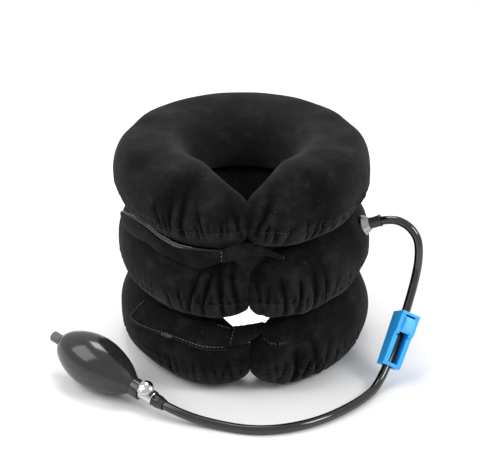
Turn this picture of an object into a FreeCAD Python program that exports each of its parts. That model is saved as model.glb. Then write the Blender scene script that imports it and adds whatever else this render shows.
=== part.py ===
import math
import os

import FreeCAD
import Part
from FreeCAD import Vector

# Inflatable three-tier neck traction collar, in millimetres.
# +Z is up, -Y is the side where the collar opens, and the origin is on the neck axis at the
# resting surface.

# ---- driving dimensions ----
TIERS = 3
TIER_HEIGHT = 73.0
PLAN_RX = 89.0                    # centreline of the air tubes, left to right
PLAN_RY = 101.5                   # centreline of the air tubes, front to back
END_RADIUS = 80.0                 # of the plan's arcs in front and at the back
TUBE_HALF_WIDTH = 36.0
TUBE_HALF_HEIGHT = 42.0           # before the neighbours press the tube flat
FABRIC = 1.2
BLADDER_GAP = 0.3
BLADDER_WALL = 0.6
SEAM_DROP = 15.0                  # the sewn seam runs this far below the middle of a tier

OPENING_ANGLE = 2.9               # where the two arms meet, degrees from -Y towards +X
ARM_GAP = 0.2                     # half of the slit between the arms, degrees

HOSE_OD = 8.5
HOSE_ID = 5.0

BULB_LENGTH = 94.0
CLAMP_LENGTH = 54.0

FITTING_SEAT = Vector(116.5, -29.2, 131.8)
FITTING_AXIS = Vector(0.90, -0.20, 0.385).normalize()
NECK_END = Vector(-103.0, -143.0, 18.2)       # where the rubber bulb ends in its neck
BULB_AXIS = Vector(0.76, -0.63, -0.152).normalize()
CLAMP_LOW = Vector(139.5, -101.6, 16.0)
CLAMP_AXIS = Vector(0.331, 0.590, 0.737).normalize()
CLAMP_FRONT = Vector(0.332, -0.803, 0.494)

Z = Vector(0, 0, 1)


# ---- helpers ----
def save(name, shape):
    """Write one piece to its own STEP file."""
    solids = shape.Solids
    if len(solids) == 1:
        shape = solids[0]
    shape.exportStep(os.path.join("parts", name + ".step"))
    lost = "" if shape.isValid() else "  NOT VALID"
    print(f"{name:26s} {shape.Volume / 1000:9.3f} cm3  {len(solids)} solid{lost}")


def frame_along(axis, toward):
    """The three unit directions of a piece that points along axis and leans toward a side."""
    along = Vector(axis).normalize()
    side = along.cross(Vector(toward)).normalize()
    front = side.cross(along).normalize()
    return along, front, side


def turned(profile, start, axis):
    """Solid of revolution about the line from start along axis, from (distance, radius) corners."""
    along, out, _ = frame_along(axis, Z if abs(axis.z) < 0.9 else Vector(1, 0, 0))
    points = [start + along * x + out * r for x, r in profile]
    face = Part.Face(Part.makePolygon(points + points[:1]))
    return face.revolve(start, along, 360)


def rod(start, axis, first, last, radius):
    """Round bar about the line from start along axis, between two distances along it."""
    along = Vector(axis).normalize()
    return Part.makeCylinder(radius, last - first, start + along * first, along)


def slab(low, high):
    """A wide block between two heights."""
    return Part.makeBox(500, 500, high - low, Vector(-250, -250, low))


# ---- air tubes ----
END_SHIFT = PLAN_RY - END_RADIUS
SIDE_SHIFT = (END_SHIFT ** 2 / (PLAN_RX - END_RADIUS) - (PLAN_RX - END_RADIUS)) / 2
SIDE_RADIUS = PLAN_RX + SIDE_SHIFT            # the plan's side arcs, tangent to the end arcs
END_CENTRE = Vector(0, END_SHIFT, 0)
SIDE_CENTRE = Vector(-SIDE_SHIFT, 0, 0)
SWITCH = math.degrees(math.atan2(END_CENTRE.y, -SIDE_CENTRE.x))   # where the plan's arcs meet


def centreline(angle):
    """Point and outward direction on the plan; the angle turns from -Y towards +X."""
    angle = (angle + 180) % 360 - 180
    a = math.radians(angle)
    outward = Vector(math.sin(a), -math.cos(a), 0)
    if abs(angle) < 90 - SWITCH:
        return END_CENTRE * -1 + outward * END_RADIUS, outward
    if abs(angle) > 90 + SWITCH:
        return END_CENTRE + outward * END_RADIUS, outward
    side = 1 if angle > 0 else -1
    return SIDE_CENTRE * side + outward * SIDE_RADIUS, outward


def arm_narrowing(angle):
    """0 where the tube is full, 1 at the end of either arm."""
    angle = (angle + 180) % 360 - 180
    side = 1 if angle > OPENING_ANGLE else -1
    full = side * (90 - SWITCH)
    tip = OPENING_ANGLE + side * ARM_GAP
    return min(1.0, max(0.0, (full - angle) / (full - tip)))


def tube_section(angle):
    """Centre and half sizes of the tube's oval section, outward and up."""
    u = arm_narrowing(angle)
    inner = -TUBE_HALF_WIDTH + 26 * u ** 1.6
    outer = TUBE_HALF_WIDTH - 13 * u ** 3
    top = TUBE_HALF_HEIGHT - 31 * u ** 1.6
    bottom = -TUBE_HALF_HEIGHT + 19 * u ** 3
    return (inner + outer) / 2, (outer - inner) / 2, (top + bottom) / 2, (top - bottom) / 2


def tube_point(angle, polar, middle, lift):
    """Point on the outside of a tier, lifted off it; polar is measured up from the outside."""
    point, outward = centreline(angle)
    q0, half_q, z0, half_z = tube_section(angle)
    p = math.radians(polar)
    q = q0 + (half_q + lift) * math.cos(p)
    z = z0 + (half_z + lift) * math.sin(p)
    return point + outward * q + Z * (middle + z)


def tube_wire(angle, shrink):
    """Section of a tube: an oval pressed flat above and below, moved inwards by shrink."""
    point, outward = centreline(angle)
    q0, half_q, z0, half_z = tube_section(angle)
    pressed = TIER_HEIGHT / 2 / TUBE_HALF_HEIGHT * half_z - shrink
    half_q -= shrink
    half_z -= shrink
    middle = point + outward * q0 + Z * (TIER_HEIGHT / 2 + z0)
    oval = Part.Ellipse(middle + Z * half_z, middle + outward * half_q, middle)
    flat = outward * (half_q * math.sqrt(1 - (pressed / half_z) ** 2))
    rise = Z * pressed
    corners = [middle + flat - rise, middle + flat + rise, middle - flat + rise, middle - flat - rise]

    def side(first, through, last):
        low, mid, high = [oval.parameter(p) for p in (first, through, last)]
        low, high = sorted((low, high))
        if not low < mid < high:
            low, high = high, low + 2 * math.pi
        return Part.ArcOfEllipse(oval, low, high).toShape()

    return Part.Wire(Part.sortEdges([
        side(corners[0], middle + outward * half_q, corners[1]),
        Part.makeLine(corners[1], corners[2]),
        side(corners[2], middle - outward * half_q, corners[3]),
        Part.makeLine(corners[3], corners[0]),
    ])[0])


def tube_solid(shrink, end_margin):
    """The air tube of the lowest tier, moved inwards by shrink and shortened at both ends."""
    swing = 180 - 2 * SWITCH
    pieces = [
        Part.Face(tube_wire(90 - SWITCH, shrink)).revolve(SIDE_CENTRE, Z, 2 * SWITCH),
        Part.Face(tube_wire(90 + SWITCH, shrink)).revolve(END_CENTRE, Z, swing),
        Part.Face(tube_wire(270 - SWITCH, shrink)).revolve(SIDE_CENTRE * -1, Z, 2 * SWITCH),
    ]
    for side in (1, -1):
        full = side * (90 - SWITCH)
        tip = OPENING_ANGLE + side * (ARM_GAP + end_margin)
        steps = 8
        wires = [tube_wire(full + (tip - full) * k / steps, shrink) for k in range(steps + 1)]
        pieces.append(Part.makeLoft(wires, True, False).common(slab(shrink, TIER_HEIGHT - shrink)))
    return pieces[0].fuse(pieces[1:])


def hollow_tube(outside, wall, margin):
    """Closed skin of the tube: its outside is moved in by one amount, its wall is another."""
    outer = tube_solid(outside, margin)
    return outer.cut(tube_solid(outside + wall, margin + wall / 1.4))


def raise_to(shape, tier):
    """Copy of a tier's piece at its own level, tier 0 being the lowest."""
    copy = shape.copy()
    copy.translate(Z * (TIER_HEIGHT * tier))
    return copy


# ---- straps ----
def ribbon(stations, inner_lift, outer_lift, place):
    """Strip of webbing through stations; place turns a station and a lift into three points."""
    wires = []
    for station in stations:
        corners = place(station, inner_lift) + place(station, outer_lift)[::-1]
        wires.append(Part.makePolygon(corners + corners[:1]))
    return Part.makeLoft(wires, True, True)


def strip_on_shoulder(stations, inner_lift, outer_lift):
    """Webbing that lies on the lowest tier, from stations (low angle, low polar, high angle, polar)."""
    middle = TIER_HEIGHT / 2
    low_edge = [tube_point(a, p, middle, outer_lift) for a, p, _, _ in stations]
    high_edge = [tube_point(a, p, middle, outer_lift) for _, _, a, p in stations]
    lowest = min(p.z for p in low_edge)
    outline = [Vector(p.x, p.y, lowest) for p in low_edge + high_edge[::-1]]
    column = Part.Face(Part.makePolygon(outline + outline[:1])).extrude(Z * TIER_HEIGHT)
    return hollow_tube(-outer_lift, outer_lift - inner_lift, 0).common(column)


def across(station, lift):
    """Places stations (angle, outward at the foot, height, outward at the top, height)."""
    angle, q0, z0, q1, z1 = station
    point, outward = centreline(angle)
    low = point + outward * (q0 + lift) + Z * z0
    high = point + outward * (q1 + lift) + Z * z1
    mid = (low + high) * 0.5 + outward * 0.25
    return [low, mid, high]


def between(station, lift):
    """Places stations given by the foot and the top of the strip, lifted upwards and forwards."""
    low = Vector(*station[0])
    high = Vector(*station[1])
    up = Vector(0, -0.45, 0.89)
    mid = (low + high) * 0.5 + up * 0.45
    return [low + up * lift, mid + up * lift, high + up * lift]


# ---- hose ----
def hose_path(corners):
    """Wire of straight runs joined by tangent arcs, with the length and the smallest radius."""
    edges = []
    radii = []
    here = corners[0]
    for i in range(1, len(corners) - 1):
        back = corners[i - 1] - corners[i]
        ahead = corners[i + 1] - corners[i]
        turn = math.pi - back.getAngle(ahead)
        trim = 0.45 * min(back.Length, ahead.Length)
        radius = trim / math.tan(turn / 2)
        radii.append(radius)
        back.normalize()
        ahead.normalize()
        begin = corners[i] + back * trim
        finish = corners[i] + ahead * trim
        towards = (back + ahead).normalize()
        depth = radius / math.cos(turn / 2) - radius
        edges.append(Part.makeLine(here, begin))
        edges.append(Part.Arc(begin, corners[i] + towards * depth, finish).toShape())
        here = finish
    edges.append(Part.makeLine(here, corners[-1]))
    return Part.Wire(edges), radii


def swept(wire, start, direction, radius):
    """Round bar that follows a wire."""
    ring = Part.Wire(Part.makeCircle(radius, start, direction))
    return wire.makePipeShell([ring], True, True)


os.makedirs("parts", exist_ok=True)

# ---- collar: fabric panels, air bladders and the links between them ----
skin = hollow_tube(0.0, FABRIC, 0.0)
seam_height = TIER_HEIGHT / 2 - SEAM_DROP
upper_panel = skin.common(slab(seam_height, TIER_HEIGHT + 1))
lower_panel = skin.common(slab(-1, seam_height))
bladder = hollow_tube(FABRIC + BLADDER_GAP, BLADDER_WALL, 1.0)

LINK_AT = Vector(0, PLAN_RY, 0)
LINK_RADIUS = 4.5
LINK_BORE = 3.0
link_inside = FABRIC + BLADDER_GAP + BLADDER_WALL + 0.2
link_hole = rod(LINK_AT, Z, -10, TIERS * TIER_HEIGHT + 10, LINK_RADIUS + 0.15)
stem_hole = rod(FITTING_SEAT, FITTING_AXIS, -12, 6, 4.4)

TIER_NAMES = ("bottom", "middle", "top")
for tier, name in enumerate(TIER_NAMES):
    below = slab(-1, 5)
    above = slab(TIER_HEIGHT - 5, TIER_HEIGHT + 1)
    opened = []
    for piece in (lower_panel, upper_panel, bladder):
        if tier > 0:
            piece = piece.cut(link_hole.common(below))
        if tier < TIERS - 1:
            piece = piece.cut(link_hole.common(above))
        piece = raise_to(piece, tier)
        if name == "middle":
            piece = piece.cut(stem_hole)
        opened.append(piece)
    save(name + "_tier_lower_panel", opened[0])
    save(name + "_tier_upper_panel", opened[1])
    save(name + "_tier_bladder", opened[2])

for level, name in ((1, "lower_air_link"), (2, "upper_air_link")):
    at = LINK_AT + Z * (TIER_HEIGHT * level)
    link = turned([(-link_inside - 1, LINK_BORE), (-link_inside - 1, 10), (-link_inside, 10),
                   (-link_inside, LINK_RADIUS), (link_inside, LINK_RADIUS), (link_inside, 10),
                   (link_inside + 1, 10), (link_inside + 1, LINK_BORE)], at, Z)
    save(name, link)

# ---- middle strap: bridges the groove between the middle and the top tier ----
PAD_STATIONS = [
    (-75, 30.4, 138.5, 30.4, 151),
    (-68, 30.4, 135.5, 30.4, 156),
    (-54, 30.4, 137, 30.4, 157.5),
    (-42, 30.4, 135, 30.4, 152.5),
    (-32, 30.4, 134, 30.4, 150.5),
    (-24, 30.4, 132.5, 30.4, 152),
    (-16, 30.4, 136, 30.4, 153.5),
    (-10.5, 30.2, 141, 30, 154.5),
]
BAND_STATIONS = [
    (-10.3, 30.2, 141.5, 30, 154),
    (-4.5, 26.9, 145.2, 26.9, 157.6),
    (1.5, 23, 146, 23, 158.4),
    (5.8, 19.1, 145.8, 19.1, 155.6),
    (10, 15.6, 144.6, 16, 150),
    (14, 14, 142.3, 15.2, 145.6),
    (17.5, 13, 138.2, 15, 142.0),
    (20.0, 12, 135.6, 14.5, 138.8),
]
hook = ribbon(PAD_STATIONS, 0.2, 1.2, across)
cover = ribbon([(a, q0, z0 - 1, q1, z1 - 1.5) for a, q0, z0, q1, z1 in PAD_STATIONS], 1.5, 2.8, across)
save("middle_strap_hook_tape", hook)
save("middle_strap_cover", cover)
save("middle_strap_band", ribbon(BAND_STATIONS, 0.6, 2.0, across))
ANCHOR_STATIONS = [
    (15.2, 69, 15.2, 96),
    (19, 66, 19, 92),
    (24, 62, 24, 80),
]
save("middle_strap_anchor", raise_to(strip_on_shoulder(ANCHOR_STATIONS, 0.3, 1.5), 1))

# ---- lower strap: lies on the shoulder of the bottom tier ----
LOW_PAD_STATIONS = [
    (-65, 13, -59.5, 52),
    (-56, 16, -53, 53),
    (-44, 22, -43, 54),
    (-36.5, 25, -36, 56),
    (-29, 26, -29, 60),
    (-18.5, 27, -18.3, 74),
    (-8.2, 36, -6.5, 90),
]
LOW_COVER_STATIONS = [(a0, p0 - 1.5, a1, p1) for a0, p0, a1, p1 in LOW_PAD_STATIONS]
save("lower_strap_hook_tape", strip_on_shoulder(LOW_PAD_STATIONS, 0.3, 1.2))
save("lower_strap_cover", strip_on_shoulder(LOW_COVER_STATIONS, 1.3, 2.6))
LOW_BAND_STATIONS = [
    ((-14.4, -126.4, 50.6), (-8.6, -104.8, 60.6)),
    ((-6.3, -122.5, 51.0), (-2.5, -104.0, 60.4)),
    ((3.5, -117.0, 52.2), (5.0, -101.0, 59.6)),
    ((12.0, -112.3, 54.0), (12.8, -97.5, 59.1)),
    ((17.6, -111.0, 56.6), (18.4, -94.9, 59.0)),
]
save("lower_strap_band", ribbon(LOW_BAND_STATIONS, 0.2, 1.6, between))
LOW_ANCHOR_STATIONS = [
    (11.2, 66, 13.6, 110),
    (14, 49, 16.5, 98),
    (18.4, 40, 20, 80),
    (22, 37, 24.6, 64),
]
save("lower_strap_anchor", strip_on_shoulder(LOW_ANCHOR_STATIONS, 0.3, 1.7))

# ---- air fitting on the middle tier ----
save("fitting_body", turned([(-10, 1.4), (-10, 4), (0.4, 4), (0.4, 10), (1.8, 10), (8, 6.4), (8, 2.4),
                             (20.5, 2.1), (20.5, 1.4)],
                            FITTING_SEAT, FITTING_AXIS))
nut_frame = frame_along(FITTING_AXIS, Z)
nut_corners = []
for k in range(7):
    a = math.radians(60 * k)
    corner = nut_frame[1] * (7.4 * math.cos(a)) + nut_frame[2] * (7.4 * math.sin(a))
    nut_corners.append(FITTING_SEAT + FITTING_AXIS * -9.4 + corner)
nut = Part.Face(Part.makePolygon(nut_corners)).extrude(FITTING_AXIS * 3.6)
save("fitting_nut", nut.cut(rod(FITTING_SEAT, FITTING_AXIS, -12, 0, 4.05)))
save("fitting_washer", turned([(-5.7, 4.1), (-5.7, 8.2), (-4.4, 8.2), (-4.4, 4.1)],
                              FITTING_SEAT, FITTING_AXIS))
save("hose_ferrule", turned([(8.1, 4.45), (8.1, 5.5), (17.6, 5.5), (17.6, 6.0), (19.2, 6.0),
                             (19.2, 4.45)], FITTING_SEAT, FITTING_AXIS))

# ---- air hose ----
along_clamp, clamp_front, clamp_right = frame_along(CLAMP_AXIS, CLAMP_FRONT)
HOSE_CORNERS = [
    FITTING_SEAT + FITTING_AXIS * 8.3,
    Vector(142.5, -35.0, 142.9),
    Vector(161.1, -41.9, 137.4),
    Vector(171.5, -48.4, 120.7),
    CLAMP_LOW + CLAMP_AXIS * 85,
    CLAMP_LOW - CLAMP_AXIS * 15.95,
    Vector(108.0, -151.0, 4.25),
    Vector(64.0, -187.0, 4.25),
    Vector(15.0, -200.5, 4.25),
    Vector(-31.0, -186.5, 4.25),
    NECK_END + BULB_AXIS * 50,
    NECK_END + BULB_AXIS * 27.7,
]
path, hose_radii = hose_path(HOSE_CORNERS)
first_way = (HOSE_CORNERS[1] - HOSE_CORNERS[0]).normalize()
hose = swept(path, HOSE_CORNERS[0], first_way, HOSE_OD / 2)
hose = hose.cut(swept(path, HOSE_CORNERS[0], first_way, HOSE_ID / 2))
save("air_hose", hose)
wall_area = math.pi / 4 * (HOSE_OD ** 2 - HOSE_ID ** 2)
print("hose length", round(path.Length, 1), "volume over section and length",
      round(hose.Volume / wall_area / path.Length, 4))
print("hose bend radii", [round(r, 1) for r in hose_radii])

# ---- roller clamp on the hose ----
CLAMP_INNER = 5.0                 # half of the channel's width
CLAMP_OUTER = 9.6
CLAMP_BACK = -6.2
TRACK_TOP = (12.5, 11.4)          # roller axle, along and in front of the hose, open
TRACK_LOW = (-13.5, 5.9)          # roller axle, closed
CLAMP_MIDDLE = CLAMP_LOW + CLAMP_AXIS * (CLAMP_LENGTH / 2 - 0.5)


def clamp_point(u, n, v):
    """Point in the clamp: along the hose, towards the open front, to the right."""
    return CLAMP_MIDDLE + along_clamp * u + clamp_front * n - clamp_right * v


def clamp_plate(outline, v_from, v_to):
    """Plate with its outline in the (along, front) plane, between two sides."""
    points = [clamp_point(u, n, v_from) for u, n in outline]
    face = Part.Face(Part.makePolygon(points + points[:1]))
    return face.extrude(clamp_right * (v_from - v_to))


half = CLAMP_LENGTH / 2
WALL_OUTLINE = [(-half, CLAMP_BACK), (-half, 7.2), (-half + 3, 8.6), (4, 11.2), (8, 14.4),
                (half - 4, 15), (half, 16), (half, CLAMP_BACK)]
shell = clamp_plate(WALL_OUTLINE, CLAMP_INNER, CLAMP_OUTER)
shell = shell.fuse(clamp_plate(WALL_OUTLINE, -CLAMP_OUTER, -CLAMP_INNER))
shell = shell.fuse(clamp_plate([(-half, CLAMP_BACK), (-half, -4.5), (half, -4.5), (half, CLAMP_BACK)],
                               -CLAMP_OUTER, CLAMP_OUTER))
shell = shell.fuse(clamp_plate([(half - 2.6, CLAMP_BACK), (half - 2.6, 16), (half, 16),
                                (half, CLAMP_BACK)], -CLAMP_OUTER, CLAMP_OUTER))
shell = shell.fuse(clamp_plate([(-half, 5), (-half, 7.2), (-half + 3, 8.4), (-half + 3, 5)],
                               -CLAMP_OUTER, CLAMP_OUTER))
track_way = Vector(TRACK_TOP[0] - TRACK_LOW[0], TRACK_TOP[1] - TRACK_LOW[1], 0).normalize()
TRACK_HALF = 1.7
across_track = (-track_way.y * TRACK_HALF, track_way.x * TRACK_HALF)
track = []
for (u, n), way in ((TRACK_LOW, 1), (TRACK_TOP, -1)):
    end = -way * TRACK_HALF
    for side in (way, -way):
        track.append((u + track_way.x * end + side * across_track[0],
                      n + track_way.y * end + side * across_track[1]))
shell = shell.cut(clamp_plate(track, -CLAMP_INNER - 1.8, CLAMP_INNER + 1.8))
shell = shell.cut(rod(CLAMP_MIDDLE, CLAMP_AXIS, half - 4, half + 2, HOSE_OD / 2 + 0.3))
save("clamp_body", shell.removeSplitter())

ROLLER_RADIUS = 6.6
roller_at = clamp_point(*TRACK_TOP, 0)
roller = rod(roller_at, clamp_right, -4.7, 4.7, ROLLER_RADIUS)
roller = roller.fuse(rod(roller_at, clamp_right, -6.6, 6.6, 1.5))
save("clamp_roller", roller.removeSplitter())

# ---- rubber bulb and its inlet valve ----
# (share of the length from the neck, radius)
BULB_OUTLINE = [(1, 7.0), (0.965, 12.0), (0.87, 18.2), (0.73, 23.3), (0.54, 25.5), (0.36, 23.3),
                (0.24, 19.9), (0.13, 15.3), (0.05, 10.6), (0, 8.0)]
BULB_WALL = 3.0
bulb_along, bulb_up, bulb_side = frame_along(BULB_AXIS, Z)


def bulb_curve(wall):
    """Smooth side of the bulb, moved inwards by a wall."""
    points = []
    for share, r in BULB_OUTLINE:
        points.append(bulb_at(-share * BULB_LENGTH, r - wall))
    curve = Part.BSplineCurve()
    curve.interpolate(points)
    return curve.toShape()


def bulb_at(x, r):
    """Point at a distance along the bulb's axis and a radius."""
    return NECK_END + bulb_along * x + bulb_up * r


outside = bulb_curve(0)
inside = bulb_curve(BULB_WALL)
neck_outline = [bulb_at(0, 8.0), bulb_at(0, 7.4), bulb_at(10.6, 7.4), bulb_at(10.6, 5.0),
                bulb_at(0, 5.0)]
edges = [outside]
edges += [Part.makeLine(a, b) for a, b in zip(neck_outline, neck_outline[1:])]
edges += [inside, Part.makeLine(bulb_at(-BULB_LENGTH, 4.0), bulb_at(-BULB_LENGTH, 7.0))]
bulb = Part.Face(Part.Wire(Part.sortEdges(edges)[0])).revolve(NECK_END, bulb_along, 360)
save("bulb", bulb)
save("bulb_neck_band", turned([(0.4, 7.5), (0.4, 8.6), (1.2, 9.0), (10.2, 9.0), (10.8, 8.6),
                               (10.8, 7.5)], NECK_END, BULB_AXIS))

bulb_end = bulb_at(-BULB_LENGTH, 0)
inlet = turned([(-13.5, 1.2), (-13.5, 4.6), (-13, 5.2), (-3, 5.2), (-3, 5.9), (-1.8, 5.9), (-1.8, 4.6),
                (-0.1, 4.6), (-0.1, 3.9), (8, 3.7), (8, 1.2), (6.5, 1.2), (6.5, 2.6), (-1, 2.6),
                (-2.5, 1.2)], bulb_end, BULB_AXIS)
for k in range(12):
    a = math.radians(30 * k)
    flute = bulb_up * (5.55 * math.cos(a)) + bulb_side * (5.55 * math.sin(a))
    inlet = inlet.cut(rod(bulb_end + flute, BULB_AXIS, -14, -3.4, 0.75))
save("inlet_cap", inlet)
save("inlet_check_ball", Part.makeSphere(2.0, bulb_end + bulb_along * -0.6))

# ---- release valve between the bulb and the hose ----
VALVE_MIDDLE = 19.0
KNOB_LEAN = Vector(0, -0.68, 0.97)
valve_along, knob_up, knob_side = frame_along(BULB_AXIS, KNOB_LEAN)
valve_at = NECK_END + valve_along * VALVE_MIDDLE

valve = turned([(-3, 1.6), (-3, 4.6), (-2, 4.95), (10.7, 4.95), (10.9, 4.95), (10.9, 6.6),
                (11.6, 7.2), (26.2, 7.2), (27, 6.6), (27, 2.45), (37, 2.2), (37, 1.4), (27, 1.4),
                (26, 2.9), (20.6, 2.9), (19.6, 1.6)], NECK_END, BULB_AXIS)
valve = valve.fuse(rod(valve_at, knob_up, 0, 9.4, 5.4).cut(rod(valve_at, valve_along, -8, 8, 5)))
valve = valve.cut(rod(valve_at, knob_up, 1.2, 12, 1.7))
save("valve_body", valve.removeSplitter())
save("outlet_check_ball", Part.makeSphere(2.2, NECK_END + valve_along * 21.3))
save("valve_screw", turned([(1.9, 0), (3.2, 1.0), (4.2, 1.55), (11.9, 1.55), (11.9, 0)],
                           valve_at, knob_up))

knob = turned([(9.9, 1.6), (9.9, 7.4), (10.4, 7.9), (13.4, 7.9), (14.4, 7.2), (15.6, 5.9),
               (16.6, 3.9), (17.0, 1.6), (17.1, 0), (12.0, 0), (12.0, 1.6)], valve_at, knob_up)
for k in range(24):
    a = math.radians(15 * k)
    groove = valve_along * (8.1 * math.cos(a)) + knob_side * (8.1 * math.sin(a))
    knob = knob.cut(rod(valve_at + groove, knob_up, 9, 13.5, 0.55))
save("valve_knob", knob)
save("hose_cuff", turned([(27.9, 4.45), (27.9, 6.3), (29.6, 6.3), (29.6, 5.9), (30.6, 5.9),
                          (30.6, 6.3), (32.4, 6.3), (32.4, 5.9), (33.4, 5.9), (33.4, 6.2),
                          (39.5, 5.0), (39.5, 4.45)], NECK_END, BULB_AXIS))
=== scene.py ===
import math

import bpy
import numpy as np
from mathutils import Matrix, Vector


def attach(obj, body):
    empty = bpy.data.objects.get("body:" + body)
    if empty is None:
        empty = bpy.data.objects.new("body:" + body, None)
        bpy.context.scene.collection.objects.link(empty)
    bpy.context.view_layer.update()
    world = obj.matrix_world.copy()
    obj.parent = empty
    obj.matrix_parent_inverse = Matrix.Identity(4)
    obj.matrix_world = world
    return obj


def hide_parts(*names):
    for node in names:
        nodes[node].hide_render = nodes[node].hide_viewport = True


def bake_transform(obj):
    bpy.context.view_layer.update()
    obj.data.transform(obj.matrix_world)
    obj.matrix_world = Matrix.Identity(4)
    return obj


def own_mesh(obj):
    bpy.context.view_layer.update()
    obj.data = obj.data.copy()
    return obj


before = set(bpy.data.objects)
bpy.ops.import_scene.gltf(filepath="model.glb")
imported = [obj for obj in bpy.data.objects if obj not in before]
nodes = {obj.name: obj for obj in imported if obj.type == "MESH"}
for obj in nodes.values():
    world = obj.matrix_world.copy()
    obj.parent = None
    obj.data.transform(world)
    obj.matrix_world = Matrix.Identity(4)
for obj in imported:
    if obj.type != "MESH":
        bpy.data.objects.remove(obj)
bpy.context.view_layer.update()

# Inflatable three-tier neck traction collar. Metres; +Z up, the collar opens towards -Y.

MM = 0.001
TIER_HEIGHT = 73.0 * MM
PLAN_RX = 89.0 * MM
PLAN_RY = 101.5 * MM
END_RADIUS = 80.0 * MM
TUBE_HALF_WIDTH = 36.0 * MM
TUBE_HALF_HEIGHT = 42.0 * MM
TIER_LIMIT = 37.9 * MM            # tiers press each other flat at this half height
SEAM_DROP = 15.0 * MM
SEAM_RISE = 6.0 * MM              # the seam climbs this much towards the end of an arm
OPENING_ANGLE = 2.9
ARM_GAP = 0.2
ARM_SAG = 6.0 * MM                # the upper tiers' arms hang this much lower at their ends
ARM_INNER_TAPER = 26.0 * MM       # how far each side of the tube draws in at the end of an arm
ARM_OUTER_TAPER = 13.0 * MM
ARM_TOP_TAPER = 31.0 * MM
ARM_BOTTOM_TAPER = 19.0 * MM
END_ROUND = 9.0 * MM              # radius of the rounding at the end of an arm
END_SCALE = 0.80                  # size of the flat left at the very end
MEAN_RADIUS = 85.0 * MM
FITTING_HEIGHT = 132.0 * MM
HOSE_DIAMETER = 8.5 * MM

FITTING_SEAT = Vector((116.5, -29.2, 131.8)) * MM
FITTING_AXIS = Vector((0.90, -0.20, 0.385)).normalized()
NECK_END = Vector((-103.0, -143.0, 18.2)) * MM
BULB_AXIS = Vector((0.76, -0.63, -0.152)).normalized()
CLAMP_LOW = Vector((139.5, -101.6, 16.0)) * MM
CLAMP_AXIS = Vector((0.331, 0.590, 0.737)).normalized()
CLAMP_FRONT = Vector((0.332, -0.803, 0.494))
CLAMP_LENGTH = 54.0 * MM
DRUM_RADIUS = 7.9 * MM
DRUM_HALF = 4.75 * MM
DRUM_ALONG = 15.0 * MM            # from the clamp's middle, along the hose
DRUM_OUT = 12.2 * MM              # in front of the hose's centre line
RIBS = 36
RIB_DEPTH = 0.25 * MM

# Places on the hose's route, in millimetres along the axis of what it meets there.
HOSE_START = 8.3                  # from the fitting's seat to the hose's first point
HOSE_ABOVE = 85                   # from the clamp's low end to the route's points beyond either end
HOSE_BELOW = 15.95
HOSE_BEFORE_VALVE = 50            # from the bulb's neck to the route's last two points
HOSE_END = 27.7
SPLINE_STEPS = 16

TAPE_THICKNESS = 1.0 * MM
CLOTH_THICKNESS = 1.7 * MM
BAND_THICKNESS = 1.5 * MM
STRAP_FACES = (0.0, -1.0, 0.4)    # direction of the straps' outer face
STITCH_PITCH = 3.4 * MM
STITCH_LENGTH = 2.2 * MM
STITCH_RADIUS = 0.30 * MM
SEAM_PITCH = 3.7 * MM
SEAM_STITCH = 2.5 * MM
SEAM_RADIUS = 0.23 * MM
STRAP_STEPS = 180
STRAP_ACROSS = 31
COVER_BANDS = 150
COVER_STEPS = 1200

FOLD_VALLEY = 1.2                 # depth of a fold's valley and height of its shoulders, as shares
FOLD_SHOULDER = 0.5
FOLD_DEEPEST = 3.0                # limits of all folds together, in millimetres
FOLD_HIGHEST = 3.2
WAVE_HEIGHT = 0.2
HELD_FLAT = 0.8                   # share of the folds that a strap takes away
PAINTED_LIGHT_NEUTRAL = 0.25               # painted light attribute: below it, painted shade in a fold's valley; above it, a painted highlight on a crest


# ---- camera, floor and light ----
def set_stage():
    """The camera, a pale floor, a white surround and soft lights; one small light is in the neck hole."""
    target = Vector((-3.2, 0.0, 105.8)) * MM
    elevation = math.radians(25.0)
    distance = 1.5
    camera = bpy.data.objects.new("camera", bpy.data.cameras.new("camera"))
    camera.location = target + Vector((0, -math.cos(elevation), math.sin(elevation))) * distance
    camera.rotation_euler = (math.radians(90) - elevation, 0, 0)
    camera.data.lens = 112.5
    camera.data.sensor_width = 36.0
    camera.data.clip_start = 0.05
    camera.data.clip_end = 50
    bpy.context.scene.collection.objects.link(camera)
    bpy.context.scene.camera = camera

    bpy.ops.mesh.primitive_plane_add(size=12, location=(0, 0, -0.0004))
    floor = bpy.context.object
    floor.name = "floor"
    floor.data.materials.append(make_material("floor", (0.86, 0.86, 0.865), 0.55)[0])

    world = bpy.data.worlds.new("studio")
    world.use_nodes = True
    world.node_tree.nodes["Background"].inputs["Color"].default_value = (1, 1, 1, 1)
    world.node_tree.nodes["Background"].inputs["Strength"].default_value = 0.78
    bpy.context.scene.world = world
    add_area_light("key", (-1.45, -0.35, 1.45), (0, 0, 0.08), 1.35, 19)
    add_area_light("fill", (1.3, -0.7, 1.2), (0, 0, 0.08), 0.6, 13)
    add_area_light("back", (-0.12, 0.62, 1.75), (0, 0, 0.10), 0.68, 13)
    well = bpy.data.objects.new("well", bpy.data.lights.new("well", "SPOT"))
    well.data.energy = 8.0
    well.data.spot_size = math.radians(26)
    well.data.spot_blend = 0.6
    well.data.shadow_soft_size = 0.004
    well.location = (0.0, 0.015, 0.30)
    well.visible_camera = False
    bpy.context.scene.collection.objects.link(well)
    bpy.context.scene.view_settings.view_transform = "Standard"
    bpy.context.scene.view_settings.look = "None"


def add_area_light(name, place, target, size, power):
    """Square soft light at a place, turned to a target; metres and watts."""
    light = bpy.data.objects.new(name, bpy.data.lights.new(name, "AREA"))
    light.data.shape = "SQUARE"
    light.data.size = size
    light.data.energy = power
    light.location = place
    light.rotation_euler = (Vector(place) - Vector(target)).to_track_quat("Z", "Y").to_euler()
    bpy.context.scene.collection.objects.link(light)


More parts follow.
